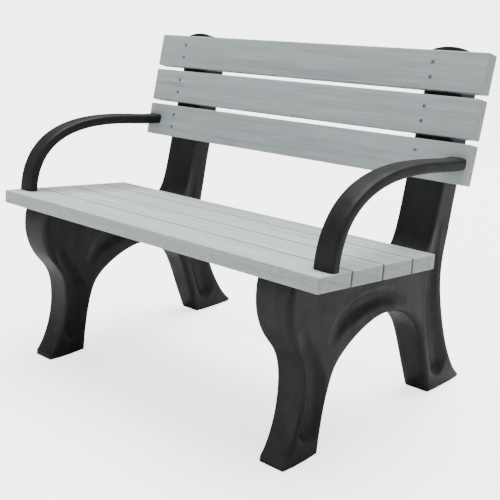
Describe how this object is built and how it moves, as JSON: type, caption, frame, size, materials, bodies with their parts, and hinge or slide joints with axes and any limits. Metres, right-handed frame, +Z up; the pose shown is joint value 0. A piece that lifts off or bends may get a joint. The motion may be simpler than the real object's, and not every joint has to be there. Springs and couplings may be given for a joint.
{
  "type": "garden bench",
  "caption": "Garden bench with a sloping slatted seat and a reclined slatted back on moulded arched end frames, with bent flat-oval armrests.",
  "frame": {"origin": "centre of the object's box in X and Y, on the ground under the feet", "axes": "+X along the bench, +Y from the seat's front edge towards the back, +Z up"},
  "size_m": [1.219, 0.7728, 0.9397],
  "materials": {
    "plank_grey": "light grey plastic lumber with faint wood grain along its length",
    "frame_charcoal": "charcoal moulded plastic with a soft satin sheen",
    "arm_charcoal": "charcoal moulded plastic, slightly smoother than the end frames",
    "screw_steel": "dark grey coated screw",
    "screw_coated": "screw coated to match the planks",
    "bolt_steel": "zinc-plated bolt or washer"
  },
  "bodies": {
    "root": {"end_frame_left": "frame_charcoal", "end_frame_right": "frame_charcoal", "seat_plank_front": "plank_grey", "seat_plank_second": "plank_grey", "seat_plank_third": "plank_grey", "seat_plank_rear": "plank_grey", "back_plank_lower": "plank_grey", "back_plank_middle": "plank_grey", "back_plank_upper": "plank_grey", "armrest_left": "arm_charcoal", "armrest_right": "arm_charcoal", "seat_screws_front": "screw_coated", "seat_screws_second": "screw_coated", "seat_screws_third": "screw_coated", "seat_screws_rear": "screw_coated", "back_screws_lower": "screw_steel", "back_screws_middle": "screw_steel", "back_screws_upper": "screw_steel", "arm_base_bolts": "bolt_steel", "arm_base_washers": "bolt_steel", "arm_rear_bolts": "bolt_steel", "arm_rear_washers": "bolt_steel"}
  },
  "joints": []
}
